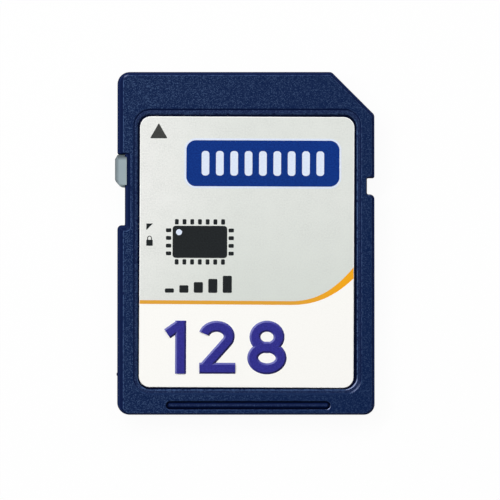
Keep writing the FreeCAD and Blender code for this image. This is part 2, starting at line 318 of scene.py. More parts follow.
# Heights in mm from which a wall can take the brightest painted highlight, and from which it is a crest
BRIGHTEST_FROM, CREST_FROM = 2.0, 2.07
# How far the bevel and the pocket's step reach from the label, in mm
BEVEL_REACH, STEP_REACH = 0.4, 0.9
# How far a wall must face left or right, the front, or the front left, to count as such
SIDEWAYS, FORWARD, TOWARDS_LAMP = 0.2, 0.3, 0.1
# Shares of the painted highlight on walls that look right, and on those that don't look front left, to the
# lamp
RIGHT_SHARE, AWAY_FROM_LAMP_SHARE = 0.5, 0.75
# Size of the spots that break up the painted highlights in mm, and the ramps over which they and the
# brightest highlight set in
HIGHLIGHT_SPOT, HIGHLIGHT_SPOTTING, BRIGHTEST_RAMP = 0.25, (0.325, 0.575), (0.52, 0.72)


def wall_shade_and_highlights(cover):
    """Colour of a wall: painted shade, light and highlights, by masks of height, direction and distance."""
    height = cover.axis("Z")
    inside = edge_distance(cover)
    pocket = inside > -STEP_REACH
    leftward = cover.facing(LEFT)
    front_left = cover.facing(FRONT_LEFT)
    lengthwise = (leftward > SIDEWAYS) + (leftward < -SIDEWAYS) * RIGHT_SHARE
    crest = (height > CREST_FROM) * (1.0 - pocket * (1.0 - lengthwise))
    towards_lamp = (front_left > TOWARDS_LAMP) * (1.0 - AWAY_FROM_LAMP_SHARE) + AWAY_FROM_LAMP_SHARE
    highlight_spots = cover.noise(HIGHLIGHT_SPOT).ramp(*HIGHLIGHT_SPOTTING)
    # Painted highlight: a pale line on crests and on the pocket's bevel, full where it faces the lamp
    highlighted = (crest + (inside > -BEVEL_REACH)) * towards_lamp * highlight_spots
    # Painted highlight at its brightest, where a line faces squarely to the front left, towards the lamp
    brightest_highlight = front_left.ramp(*BRIGHTEST_RAMP) * (pocket + (height > BRIGHTEST_FROM)).clamp()
    # Painted light on the pocket's walls that face the front, towards the lamps
    painted_lit = (cover.facing(FRONT) > FORWARD) * pocket
    highlighted_navy = cover.mix(highlighted, cover.mix(painted_lit, DEEP_SHADED_NAVY, PAINTED_LIT_NAVY), HIGHLIGHT_NAVY)
    return cover.mix(brightest_highlight, highlighted_navy, BRIGHTEST_HIGHLIGHT_NAVY)


# The pale crest and bevel lines are painted highlights
print("crests rubbed above", CREST_FROM, "mm, bevel rubbed within", BEVEL_REACH, "mm of the label")

# %% [markdown]
# ## The grain of the covers
# The mould's show faces were spark-eroded, which leaves them covered in tiny domes less than a tenth of a
# millimetre across, and each dome catches the light a little differently. Random cells are just such a
# mosaic: the distance to a cell's middle gives the dome for the bump, and the cell's random colour says
# how pale its fleck is. These pale flecks are painted glints, standing for the lamp light that the domes
# catch. The grain and its painted glints are strongest at the front left, towards the strip lamp, and
# weaken towards the rear right, so a tilted plane scales them; in the glints this is painted light. An
# image of grain would do too, but cells stay sharp at any distance and need no file.

# %% Spark-eroded grain with painted glints
GRAIN = 0.08
DOME_FALL = 1.4
# Strength of the grain and of its painted glints in the middle of the card, and its slopes per mm
RELIEF, RELIEF_X, RELIEF_Y = 0.87, -0.019, 0.005


def grain_cells(cover):
    """Domes, 1 - fall * distance to a cell's middle, and a random chance for each cell, all from 0 to 1."""
    flat = {"voronoi_dimensions": "2D"}
    cells = {"Vector": cover.place(), "Scale": 1 / (GRAIN * MM), "Randomness": 0.9}
    distance = cover.node("ShaderNodeTexVoronoi", flat, cells, output="Distance")
    cell_colour = cover.node("ShaderNodeTexVoronoi", flat, cells, output="Color")
    chance = cover.node("ShaderNodeSeparateColor", inputs={"Color": cell_colour}, output="Red")
    return (1.0 - distance * DOME_FALL).clamp(), chance


def grain_and_glint_strength(cover):
    """Grain and painted glint strength: a plane over the card, level + slope_x * x + slope_y * y."""
    return cover.axis("X") * RELIEF_X + cover.axis("Y") * RELIEF_Y + RELIEF


print("grain cells of", GRAIN, "mm")

# %% [markdown]
# ## The moulded covers
# The label side is a stack of level faces: the floor of the gap round the label, painted near black as
# the shade in that narrow gap, the ledge along the edges, the shelf round the pocket, and the deck. A
# colour ramp on the height gives each its own navy, in steps, because a new face starts at once. The back
# is all one navy. Both covers then take the same walls and grain, so one function dresses them.

# %% Moulded navy plastic
# The gap's floor is painted near black, as the shade that fills the narrow gap
GAP_SHADE_NAVY = paint(0, 7, 36)
LEDGE_NAVY = paint(22, 36, 76)
SHELF_NAVY = paint(19, 33, 71)
DECK_NAVY = paint(7, 29, 69)
# Colour of the painted glints on the grain's domes
PAINTED_GLINT = paint(75, 100, 140)
# Heights in mm at which the ramp and its steps start, and its end
LOWEST, LEDGE_FROM, SHELF_FROM, DECK_FROM, HIGHEST = 1.8, 1.9, 1.975, 2.04, 2.1
BELOW_ALL = -1.0
# Roughness of a plain face, and what a fleck or a wall adds to it
FACE_ROUGH, FLECK_ROUGH, WALL_ROUGH = 0.34, 0.25, 0.4


def moulded_cover(name, steps, grain_from, node):
    """A cover's finish: faces in steps of (height mm, colour), grain above a height, painted-light walls."""
    cover = Finish(name, {"Specular IOR Level": 0.08})
    height = cover.axis("Z")
    stops = [((low - LOWEST) / (HIGHEST - LOWEST), colour) for low, colour in steps]
    face = cover.node("ShaderNodeValToRGB", {"stops": stops}, {0: height.ramp(LOWEST, HIGHEST)})
    level = cover.level_face()
    dome, chance = grain_cells(cover)
    grained = level * (height > grain_from) * grain_and_glint_strength(cover)
    # Pale flecks on the grain's domes: painted glints of the lamp light
    painted_glints = chance * chance * chance * dome * grained
    plain = cover.mix(level, wall_shade_and_highlights(cover), face)
    cover.feed("Base Color", cover.mix(painted_glints, plain, PAINTED_GLINT))
    cover.feed("Roughness", grained * chance * FLECK_ROUGH + FACE_ROUGH + (1.0 - level) * WALL_ROUGH)
    cover.emboss(dome * grained, depth=0.01)
    cover.dress(node)


label_side = [
    (LOWEST, GAP_SHADE_NAVY),
    (LEDGE_FROM, LEDGE_NAVY),
    (SHELF_FROM, SHELF_NAVY),
    (DECK_FROM, DECK_NAVY),
]
moulded_cover("moulded_label_side", label_side, SHELF_FROM, "top_cover")
moulded_cover("moulded_back_side", [(LOWEST, DECK_NAVY)], BELOW_ALL, "bottom_cover")

# %% [markdown]
# ## The lock slider
# The tab is a pale blue-grey plastic from a polished mould: smooth, slightly cloudy, with faint drag
# marks along the way it slides. The marks are a noise that is stretched forty times along Y. The tab is
# painted darker gradually towards its outer side and its two ends, as the shade that falls on its edges.
# Three ramps that are multiplied give that painted shade, each counted from one side of the tab's own
# box.

# %% Grey slider plastic with painted shade
SLIDER_GREY = paint(154, 169, 175)
SLIDER_CLOUD = paint(146, 161, 168)
SLIDER_SHADE = paint(78, 88, 93)
# Where each ramp of painted shade starts and ends, in mm from its side of the tab
LEFT_FADE, FRONT_FADE, REAR_FADE = (0.0, 0.4), (-0.16, -0.52), (-0.18, 0.27)
(tab_left, tab_rear), (_, tab_front) = [(corner.x / MM, corner.y / MM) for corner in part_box("lock_slider")]
slider_plastic = Finish("slider_grey", {"Specular IOR Level": 0.3})


def painted_shade_ramp(letter, side, reach):
    """Ramp along an axis that starts and ends at two distances, in mm, from a side of the tab."""
    return slider_plastic.axis(letter).ramp(side + reach[0], side + reach[1])


lengthwise_unshaded = painted_shade_ramp("Y", tab_front, FRONT_FADE) * painted_shade_ramp("Y", tab_rear, REAR_FADE)
unshaded_share = painted_shade_ramp("X", tab_left, LEFT_FADE) * lengthwise_unshaded
top_colour = slider_plastic.mix(slider_plastic.noise(0.9), SLIDER_GREY, SLIDER_CLOUD)
drag_marks = slider_plastic.noise(0.05, stretch=(1.0, 40.0, 1.0))
# The tab's outer side and its ends are painted darker, as shade
slider_plastic.feed("Base Color", slider_plastic.mix(unshaded_share, SLIDER_SHADE, top_colour))
slider_plastic.roughen(drag_marks, smooth=0.3, rough=0.5)
slider_plastic.emboss(drag_marks, depth=0.002)
slider_plastic.dress("lock_slider")

# %% [markdown]
# ## The label film
# The upper field of the label is silvery grey ink on a white film. It darkens a little from the left edge
# to the middle, and again towards the rear, and fine fibres show in it. Two straight ramps do the first,
# and two sizes of weak noise do the second. The film is glossy under the ink, so it also gets a thin
# clear coat. The ink stops a hair short of the cut edge, where the white film shows.

# %% Silver label film
SILVER_LIGHT = paint(237, 237, 234)
SILVER_DARK = paint(210, 216, 209)
SILVER_FIBRE = paint(203, 206, 202)
FILM_WHITE = paint(250, 251, 249)
# Where the darkening starts and ends on X and on Y, in mm, and the part that X has in it
DARKER_RIGHT, DARKER_REAR, RIGHT_PART = (-11.0, -1.0), (4.0, -8.0), 0.55
# The middle third of a noise, spread over the whole range, has three times the contrast
MOTTLE = (1 / 3, 2 / 3)
FIBRE_STRENGTH, COAT_STRENGTH = 0.8, 0.1
FILM_MARGIN = 0.075
film = Finish("label_silver", {"Specular IOR Level": 0.2, "Coat Roughness": 0.2})
to_right = film.axis("X").ramp(*DARKER_RIGHT)
to_rear = film.axis("Y").ramp(*DARKER_REAR)
field_colour = film.mix(to_right * RIGHT_PART + to_rear * (1.0 - RIGHT_PART), SILVER_LIGHT, SILVER_DARK)
fibres = film.noise(0.14, detail=4.0)
blotches = film.noise(1.6)
inked = film.mix(fibres.ramp(*MOTTLE) * blotches * FIBRE_STRENGTH, field_colour, SILVER_FIBRE)
film.feed("Base Color", film.mix(edge_distance(film) < FILM_MARGIN, inked, FILM_WHITE))
film.feed("Coat Weight", blotches * COAT_STRENGTH)
film.roughen(fibres, smooth=0.4, rough=0.55)
film.emboss(fibres, depth=0.001)
film.dress("front_label")

# %% [markdown]
# ## Gold contacts
# The contacts are hard gold over nickel. Each time the card goes into a slot, springs wipe them along Y
# and leave fine lines. There are too many to draw one by one, so the roughness and the bump follow a
# noise that is stretched along Y.

# %% Wiped gold plate
GOLD = paint(226, 178, 92)
GOLD_WORN = paint(205, 160, 88)
CONTACTS = range(1, 10)
gold = Finish("gold_plate", {"Metallic": 1.0})
wipes = gold.noise(0.04, detail=3.0, stretch=(1.0, 60.0, 1.0))
gold.feed("Base Color", gold.mix(gold.noise(0.8), GOLD, GOLD_WORN))
gold.roughen(wipes, smooth=0.15, rough=0.4)
gold.emboss(wipes, depth=0.001)
gold.dress(*[f"contact_pad_{number}" for number in CONTACTS])

# %% [markdown]
# ## The board
# The board is closed in by the covers, but a card that is taken apart shows it, so it gets a true finish
# too. It is glass cloth under green lacquer. The threads could be modelled, but they only shimmer
# through, so two crossed waves give the weave.

# %% Lacquered board
BOARD_GREEN = paint(24, 92, 58)
BOARD_WEAVE = paint(34, 108, 68)
THREADS = 700.0
lacquer = Finish("board_lacquer", {"Coat Weight": 0.4, "Coat Roughness": 0.15})
threads = {"Vector": lacquer.place(), "Scale": THREADS}
warp = lacquer.node("ShaderNodeTexWave", {"bands_direction": "X"}, threads)
weft = lacquer.node("ShaderNodeTexWave", {"bands_direction": "Y"}, threads)
weave = warp * weft
lacquer.feed("Base Color", lacquer.mix(weave, BOARD_GREEN, BOARD_WEAVE))
lacquer.roughen(weave, smooth=0.35, rough=0.5)
lacquer.emboss(weave, depth=0.004)
lacquer.dress("circuit_board")

# %% [markdown]
# ## The chips
# The memory and its controller are black resin, moulded with a matt, sandy face. One fine noise does all
# three: the colour, the roughness and the bump go together, as they do in sand.

# %% Black resin
RESIN_BLACK = paint(30, 30, 32)
RESIN_SAND = paint(52, 52, 54)
resin = Finish("chip_resin", {"Specular IOR Level": 0.35})
sand = resin.noise(0.07, detail=3.0)
resin.feed("Base Color", resin.mix(sand, RESIN_BLACK, RESIN_SAND))
resin.roughen(sand, smooth=0.5, rough=0.7)
resin.emboss(sand, depth=0.006)
resin.dress("flash_chip", "controller_chip")

# %% [markdown]
# ## The small parts
# Capacitors and resistors are fired bodies, tinned at both ends. The caps could be pieces of their own,
# but each kind lies in one row along X, so a step along Y from the row's middle picks out the tin of the
# whole row at once.

# %% Tinned parts
TIN = paint(205, 206, 204)
FIRED_SPECK = paint(120, 108, 96)
SPECK_STRENGTH = 0.4
CAP_LENGTH = 0.25
CAPACITORS, RESISTORS = range(1, 5), range(1, 6)


def tinned_part(name, body_colour, nodes):
    """Finish of small parts that lie along Y in one row: ends of bright tin, a fired body between them."""
    low, high = [corner.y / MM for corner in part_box(nodes[0])]
    half_body = (high - low) / 2 - CAP_LENGTH
    finish = Finish(name, {})
    ends = abs(finish.axis("Y") - (low + high) / 2) > half_body
    fired = finish.noise(0.12, detail=3.0)
    speckled = finish.mix(fired * SPECK_STRENGTH, body_colour, FIRED_SPECK)
    finish.feed("Base Color", finish.mix(ends, speckled, TIN))
    finish.feed("Metallic", ends)
    finish.roughen(fired, smooth=0.3, rough=0.5)
    finish.emboss(fired, depth=0.003)
    finish.dress(*nodes)


tinned_part("capacitor_ceramic", paint(150, 116, 78), [f"capacitor_{number}" for number in CAPACITORS])
tinned_part("resistor_glaze", paint(34, 34, 38), [f"resistor_{number}" for number in RESISTORS])

# %% [markdown]
# ## Ink as a film between two edges
# Print is a few thousandths of a millimetre of ink. It could be painted in the label's material, but a
# film of its own keeps a crisp edge at any distance. Each patch of ink is one surface with two
# parameters: u runs along two edge curves, v runs across from one to the other and round the film's
# section. The whole array of points is worked out at once, and a piece may hold several patches. A bevel
# draws the top in, for ink that stands proud.

# %% Film helpers
INK = 0.006
# Points closer than this are one point, in metres
WELD = 1e-8


def film_rings(first, second, floor, height, bevel):
    """Sections (stations, 4, 3) of a film: up at first(u), across, down at second(u), the top drawn in."""
    across = second - first
    inward = bevel * across / np.linalg.norm(across, axis=1, keepdims=True)
    plan = on_label(np.stack([first, first + inward, second - inward, second], axis=1))
    level = floor + np.outer(np.broadcast_to(height, len(first)), [0, 1, 1, 0])
    return np.concatenate([plan, level[:, :, None]], axis=2) * MM


def ring_faces(rings, start, closed):
    """Quads from each section to the next, counted from vertex start, and two end caps or a closed seam."""
    stations, points = rings.shape[:2]
    index = start + np.arange(stations * points).reshape(stations, points)
    near, far = (index, np.roll(index, -1, 0)) if closed else (index[:-1], index[1:])
    quads = np.stack([near, np.roll(near, -1, 1), np.roll(far, -1, 1), far], axis=-1).reshape(-1, 4)
    return quads.tolist() if closed else quads.tolist() + [index[0].tolist(), index[-1].tolist()]


def finish_mesh(mesh):
    """Merges doubled points and turns every face outwards."""
    work = bmesh.new()
    work.from_mesh(mesh)
    bmesh.ops.remove_doubles(work, verts=work.verts, dist=WELD)
    bmesh.ops.recalc_face_normals(work, faces=work.faces)
    work.to_mesh(mesh)
    work.free()


def ride_on_card(name, mesh, finish):
    """Puts a finished mesh on the card's body, with its finish in the mesh's material slot."""
    mesh.materials.append(finish.material)
    piece = bpy.data.objects.new(name, mesh)
    bpy.context.scene.collection.objects.link(piece)
    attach(piece, "card")
    print(f"{name}: {len(mesh.polygons)} faces, {finish.material.name}")


def print_piece(name, patches, finish, floor=0.0, height=INK, bevel=0.0, step=0.0, closed=False):
    """One piece of print from patches, each a pair of edge curves. Floor and height are mm above the label.

    Patches that cross are laid one on another, each higher than the last by step.
    """
    points, faces = [], []
    for number, (first, second) in enumerate(patches):
        rings = film_rings(first, second, label_top + floor, height + number * step, bevel)
        faces += ring_faces(rings, sum(len(block) for block in points), closed)
        points.append(rings.reshape(-1, 3))
    mesh = bpy.data.meshes.new(name)
    mesh.from_pydata(np.concatenate(points), [], faces)
    finish_mesh(mesh)
    ride_on_card(name, mesh, finish)


print("ink", INK, "mm thick on a label at", round(label_top, 3), "mm")

# %% [markdown]
# ## Printing inks
# Ink on film is never quite even: the fibres under it show as a faint mottle in colour, gloss and height.
# So an ink has two close colours, and a fine noise goes from one to the other. One of the inks here was
# printed as a blend instead, and its two colours go over into each other from left to right, at a place
# that wavers.

# %% Ink finish
INK_FIBRE = 0.13
# How far the place of a blend wavers, in mm
WAVER = 1.0


def ink(name, colour, second, fade=None):
    """Printing ink: a colour mottled towards a second one, or fading to it between two places on X."""
    finish = Finish(name, {"Specular IOR Level": 0.12})
    fibre = finish.noise(INK_FIBRE, detail=3.0)
    share = fibre.ramp(*MOTTLE)
    if fade:
        share = (finish.axis("X") + (share - 0.5) * WAVER).ramp(*fade)
    finish.feed("Base Color", finish.mix(share, colour, second))
    finish.roughen(fibre, smooth=0.35, rough=0.5)
    finish.emboss(fibre, depth=0.0008)
    return finish


print("inks are mottled by fibres of", INK_FIBRE, "mm")

# %% [markdown]
# ## The white field and the orange stripe
# A white field fills the rear of the label. An orange stripe edges it: level for over two thirds of the
# width, then swinging up to the right and getting thicker. Both edges of the stripe are the same curve,
# flat and then a power of the distance past the bend, with more rise for the upper one. A curve drawn by
# hand would do too, but a formula keeps the edges in step. The white field ends at the label's own
# rounded rear.

# %% Stripe and white field
# Lower and upper edge of the stripe: their level at the left, and their rise at the right
STRIPE_LEVEL = (-5.707, -5.354)
STRIPE_RISE = (2.51, 3.21)
STRIPE_TILT = -0.003
STRIPE_BEND, STRIPE_POWER = 4.0, 2.35
FIELD_EDGE, FIELD_RADIUS = 0.035, 0.97
CORNER_STATIONS, BEND_STATIONS = 17, 40
left, rear = label_middle - LABEL_SIZE / 2 + FIELD_EDGE
right = label_middle[0] + LABEL_SIZE[0] / 2 - FIELD_EDGE


def stripe_edge(x, level, rise):
    """Stripe edge: y = level + tilt * (x - left) + rise * past ** power, past going 0 to 1 after the bend."""
    past = np.clip((x - STRIPE_BEND) / (right - STRIPE_BEND), 0, None)
    return np.stack([x, level + STRIPE_TILT * (x - left) + rise * past**STRIPE_POWER], axis=1)


def rounded_rear(x):
    """Rear edge, with quarter circles: y = rear + r - sqrt(r^2 - d^2), d the way into a corner."""
    into = np.clip(FIELD_RADIUS - np.minimum(x - left, right - x), 0, FIELD_RADIUS)
    return np.stack([x, rear + FIELD_RADIUS - np.sqrt(FIELD_RADIUS**2 - into**2)], axis=1)


corner_run = FIELD_RADIUS * (1 - np.cos(np.linspace(0, np.pi / 2, CORNER_STATIONS)))
bend_run = np.linspace(STRIPE_BEND, right - FIELD_RADIUS, BEND_STATIONS)[:-1]
field_x = np.concatenate([left + corner_run, bend_run, right - corner_run[::-1]])
lower_edge = stripe_edge(field_x, STRIPE_LEVEL[0], STRIPE_RISE[0])
upper_edge = stripe_edge(field_x, STRIPE_LEVEL[1], STRIPE_RISE[1])
white_ink = ink("ink_white", paint(250, 249, 245), paint(247, 246, 242))
orange_ink = ink("ink_orange", paint(222, 160, 56), paint(241, 167, 28), fade=(4.0, 9.0))
print_piece("white_field", [(rounded_rear(field_x), lower_edge)], white_ink)
print_piece("orange_stripe", [(lower_edge, upper_edge)], orange_ink)

# %% [markdown]
# ## The insertion arrow
# A dark arrow shows which end goes in first. A triangle is a film whose two edges run together. Its base
# corners are rounded, as printed corners are, and it stops a hair short of a point, so that no face
# vanishes.

# %% Insertion arrow
# A hair that keeps a point from closing, in mm
POINT = 0.02
ARROW_MIDDLE, ARROW_WIDTH, ARROW_CORNER = -8.18, 1.56, 0.1
ARROW_BASE, ARROW_TIP, ARROW_STATIONS = 9.76, 11.12, 40
grey_ink = ink("ink_grey", paint(68, 69, 67), paint(58, 59, 57))
climb = np.linspace(0, ARROW_TIP - ARROW_BASE, ARROW_STATIONS)
rounding = ARROW_CORNER - np.sqrt(ARROW_CORNER**2 - np.clip(ARROW_CORNER - climb, 0, None) ** 2)
half = (ARROW_WIDTH / 2) * (1 - climb / climb[-1]) - rounding + 2 * POINT
arrow_left = np.stack([ARROW_MIDDLE - half, ARROW_BASE + climb], axis=1)
arrow_right = np.stack([ARROW_MIDDLE + half, ARROW_BASE + climb], axis=1)
print_piece("insertion_arrow", [(arrow_left, arrow_right)], grey_ink)

# %% [markdown]
# ## The lock arrow and the padlock
# Beside the slider, a small corner arrow points the way it locks, with a padlock under it. The padlock is
# four films: a body with round corners, a bow between two half circles, and the bow's two straight ends.
# These few kinds of edge, straight, rounded and circular, draw all the signs that follow too.

# %% Lock arrow and padlock
LOCK_LEFT, LOCK_RIGHT = -9.3, -8.7
LOCK_ARROW_TOP, LOCK_ARROW_TIP = 1.8, 1.2
PADLOCK_FOOT, PADLOCK_TOP, PADLOCK_CORNER = -0.28, 0.28, 0.07
BOW_INNER, BOW_OUTER, BOW_LEG = 0.14, 0.22, 0.16
FIRST_ANGLE = 0.12


def straight(start, end, stations=2):
    """Straight edge curve from start to end."""
    return np.linspace(start, end, stations)


def rounded_bar(x_low, x_high, y_low, y_high, radius, stations=9):
    """Bar with quarter-circle corners: edges draw in by r - r sin(t) where x is r (1 - cos t) from an end.

    The angle t starts a little above 0, so that the bar's ends keep some width and no face vanishes.
    """
    angle = np.linspace(FIRST_ANGLE, np.pi / 2, stations)
    run = radius * (1 - np.cos(angle))
    draw = radius * (1 - np.sin(angle))
    x = np.concatenate([x_low + run, x_high - run[::-1]])
    inset = np.concatenate([draw, draw[::-1]])
    return np.stack([x, y_low + inset], axis=1), np.stack([x, y_high - inset], axis=1)


def half_ring(centre, inner, outer, stations=25):
    """Upper half of a ring, between two half circles about one centre."""
    angle = np.linspace(0, np.pi, stations)
    circle = np.stack([np.cos(angle), np.sin(angle)], axis=1)
    return centre + inner * circle, centre + outer * circle


black_ink = ink("ink_black", paint(36, 40, 42), paint(28, 31, 33))
lock_side = straight((LOCK_LEFT, LOCK_ARROW_TOP), (LOCK_LEFT, LOCK_ARROW_TIP))
lock_slope = straight((LOCK_RIGHT, LOCK_ARROW_TOP), (LOCK_LEFT + POINT, LOCK_ARROW_TIP))
print_piece("lock_arrow", [(lock_side, lock_slope)], black_ink)

bow_middle = np.array([(LOCK_LEFT + LOCK_RIGHT) / 2, PADLOCK_TOP + BOW_LEG])
padlock = [rounded_bar(LOCK_LEFT, LOCK_RIGHT, PADLOCK_FOOT, PADLOCK_TOP, PADLOCK_CORNER)]
padlock.append(half_ring(bow_middle, BOW_INNER, BOW_OUTER))
for side in (-1, 1):
    inner, outer = [bow_middle + (side * radius, 0) for radius in (BOW_INNER, BOW_OUTER)]
    padlock.append((straight(inner, (inner[0], PADLOCK_TOP)), straight(outer, (outer[0], PADLOCK_TOP))))
print_piece("padlock_sign", padlock, black_ink)

# %% [markdown]
# ## The blue panel
# The grey field carries three plain devices, all of them bars with round corners, so one function makes
# every shape and only sizes and places differ. The first is a blue panel that shows which end has the
# contacts: it holds a row of nine pale bars, one for each contact, and a thin pale rim shows round it.

# %% Blue panel
# Left, right, rear and front side of the panel, and the way outwards for each
PANEL = np.array([-5.6, 8.7, 5.3, 9.6])
OUTWARDS = np.array([-1, 1, -1, 1])
PANEL_RADIUS, PANEL_RIM = 0.9, 0.18
BAR_WIDTH, BAR_PITCH, BAR_INSET, BAR_CORNER = 0.72, 1.34, 1.0, 0.3
blue_ink = ink("ink_blue", paint(12, 55, 136), paint(3, 41, 116))
pale_ink = ink("ink_pale", paint(222, 231, 246), paint(212, 222, 240))
rim = rounded_bar(*(PANEL + PANEL_RIM * OUTWARDS), PANEL_RADIUS + PANEL_RIM)
print_piece("blue_panel_rim", [rim], pale_ink)
print_piece("blue_panel", [rounded_bar(*PANEL, PANEL_RADIUS)], blue_ink, floor=INK)
x_low, x_high, y_low, y_high = PANEL
bars = []
for number in range(len(CONTACTS)):
    middle = (x_low + x_high) / 2 + (number - (len(CONTACTS) - 1) / 2) * BAR_PITCH
    bar_sides = (middle - BAR_WIDTH / 2, middle + BAR_WIDTH / 2)
    bars.append(rounded_bar(*bar_sides, y_low + BAR_INSET, y_high - BAR_INSET, BAR_CORNER))
print_piece("blue_panel_bars", bars, pale_ink, floor=2 * INK)

# %% [markdown]
# ## The chip sign
# Under the panel is the sign of a chip: a black body, legs on all four sides, and a pale dot at its first
# pin. The legs differ only in the side they stand on, so a leg is placed along one axis and spread along
# the other.

# %% Chip sign
CHIP_MIDDLE, CHIP_HALF, CHIP_CORNER = np.array([-4.3, 0.1]), np.array([2.55, 1.5]), 0.3
LEG_LENGTH, LEG_WIDTH, LEG_PITCH, LEG_GAP, LEG_CORNER = 0.5, 0.36, 0.72, 0.12, 0.1
# Legs on each short end of the chip and on each long side
END_LEGS, SIDE_LEGS = 4, 7
PIN_PLACE, PIN_RADIUS, PIN_HAIR = (-1.95, 0.9), 0.28, 0.001


def centred_bar(middle, half, radius):
    """Rounded bar given by its middle and its half size."""
    low, high = middle - half, middle + half
    return rounded_bar(low[0], high[0], low[1], high[1], radius)


def legs(axis, count):
    """Legs that stick out of the chip sign both ways along one axis, count of them along the other."""
    half = np.full(2, LEG_WIDTH / 2)
    half[axis] = LEG_LENGTH / 2
    row = []
    for number in range(2 * count):
        offset = np.empty(2)
        offset[axis] = (1 if number < count else -1) * (CHIP_HALF[axis] + LEG_GAP + LEG_LENGTH / 2)
        offset[1 - axis] = (number % count - (count - 1) / 2) * LEG_PITCH
        row.append(centred_bar(CHIP_MIDDLE + offset, half, LEG_CORNER))
    return row


chip = [centred_bar(CHIP_MIDDLE, CHIP_HALF, CHIP_CORNER)] + legs(0, END_LEGS) + legs(1, SIDE_LEGS)
print_piece("chip_sign", chip, black_ink)
pin_mark = centred_bar(CHIP_MIDDLE + PIN_PLACE, np.full(2, PIN_RADIUS), PIN_RADIUS - PIN_HAIR)
print_piece("chip_sign_mark", [pin_mark], pale_ink, floor=INK)

# %% [markdown]
# ## The rising marks
# Five bars, each a little taller than the last, stand for the card's speed. A loop sets them out from one
# corner, because their place and height follow from their number.

# %% Rising marks
MARK_COUNT, MARK_WIDTH, MARK_PITCH, MARK_CORNER = 5, 0.85, 1.35, 0.12
MARK_LEFT, MARK_LOW, MARK_FIRST, MARK_STEP = -7.55, -4.65, 0.4, 0.3
marks = []
for number in range(MARK_COUNT):
    mark_x = MARK_LEFT + number * MARK_PITCH
    mark_top = MARK_LOW + MARK_FIRST + MARK_STEP * number
    marks.append(rounded_bar(mark_x, mark_x + MARK_WIDTH, MARK_LOW, mark_top, MARK_CORNER))
print_piece("rising_marks", marks, black_ink)

# %% [markdown]
# ## The number's ink
# A large plain number in violet-blue fills the white field. It is printed to look embossed: pale along
# its upper left edges, dark along the others. The number gets real bevels here, and the way each bevel
# faces tells the ink how pale or dark to be.

# %% Violet ink
VIOLET, VIOLET_MOTTLE = paint(48, 46, 145), paint(36, 35, 126)
VIOLET_PALE, VIOLET_DARK = paint(92, 95, 166), paint(14, 10, 66)
# How far a bevel must face the light, or away from it, for its full shade
FULL_SHADE = 0.5
violet_ink = Finish("ink_violet", {"Specular IOR Level": 0.3})
violet_fibre = violet_ink.noise(INK_FIBRE, detail=3.0)
to_light = violet_ink.facing(FRONT_LEFT)
violet_base = violet_ink.mix(violet_fibre.ramp(*MOTTLE), VIOLET, VIOLET_MOTTLE)
violet_lit = violet_ink.mix(to_light.ramp(0.0, FULL_SHADE), violet_base, VIOLET_PALE)
violet_ink.feed("Base Color", violet_ink.mix(to_light.ramp(0.0, -FULL_SHADE), violet_lit, VIOLET_DARK))
violet_ink.roughen(violet_fibre, smooth=0.35, rough=0.5)
print("violet ink mixed, full shade at a facing of", FULL_SHADE)

# %% [markdown]
# ## The number
# A font would give the digits, but a digit is also just a broad pen stroke, so each one is a few paths
# with a bevelled section carried along them. Points are in millimetres from the number's own rear left
# corner. Strokes that cross are laid one on another, two thousandths of a millimetre apart, so that no
# two tops share a plane.

# %% Digits as broad strokes
NUMBER_CORNER = np.array([-7.6, -12.2])
STROKE = 1.06
RING_STATIONS = 64
raised = {"height": 0.09, "bevel": 0.19, "step": 0.002}


def stroke(path, closed=False):
    """Two edges of a broad stroke: the path moved half a stroke along its normal to either side."""
    if closed:
        run = np.roll(path, -1, 0) - np.roll(path, 1, 0)
    else:
        run = np.gradient(path, axis=0)
    run = run / np.linalg.norm(run, axis=1, keepdims=True)
    normal = np.stack([-run[:, 1], run[:, 0]], axis=1)
    return NUMBER_CORNER + path + normal * STROKE / 2, NUMBER_CORNER + path - normal * STROKE / 2


def ellipse(centre, radii, start, end, stations):
    """Arc of an ellipse: centre + (rx cos t, ry sin t), t from start to end in degrees."""
    angle = np.radians(np.linspace(start, end, stations))
    return np.array(centre) + np.array(radii) * np.stack([np.cos(angle), np.sin(angle)], axis=1)


def ring(centre, radii):
    """Broad stroke round a whole ellipse, whose last point is left off because it falls on the first."""
    return stroke(ellipse(centre, radii, 0, 360, RING_STATIONS + 1)[:-1], closed=True)


one = [stroke(straight((1.55, 0.0), (1.55, 4.95))), stroke(straight((0.3, 3.72), (1.45, 4.52)))]
hook = ellipse((4.9, 3.5), (1.175, 0.925), 165, -35, 40)
tail = straight((5.85, 2.95), (3.83, 0.67), 12)[1:]
two = [stroke(np.concatenate([hook, tail])), stroke(straight((3.3, 0.52), (6.65, 0.52)))]
eight = [ring((9.6, 3.46), (1.12, 1.0)), ring((9.6, 1.5), (1.32, 1.01))]
print_piece("number_strokes", one + two, violet_ink, **raised)
print_piece("number_rings", eight, violet_ink, **raised, closed=True)

# %% [markdown]
# ## A white table
# The card lies on a white table. For the camera, and for anything that mirrors it, the table shines
# almost white by itself. For the light that lands on it, it is plain matt white, so it still takes the
# card's soft shadow. More lamps would also whiten it, but they would bleach the card. Lengths of the
# studio are in metres.

# %% Table
# The table lies this far under the card, so that their faces don't share a plane
TABLE_DROP = 0.02 * MM
TABLE_HALF = 3.0
TABLE_WHITE, GLOW_WHITE = (0.86, 0.86, 0.86, 1.0), (1.0, 1.0, 1.0, 1.0)
GLOW_SHARE = 0.95


def seen_directly(tree):
    """1 for rays from the camera, off mirrors and through glass, 0 for light that lands on matt faces."""
    names = ("Is Camera Ray", "Is Glossy Ray", "Is Transmission Ray")
    camera_ray, mirrored, through = [tree.node("ShaderNodeLightPath", output=name) for name in names]
    return (camera_ray + mirrored + through).clamp()


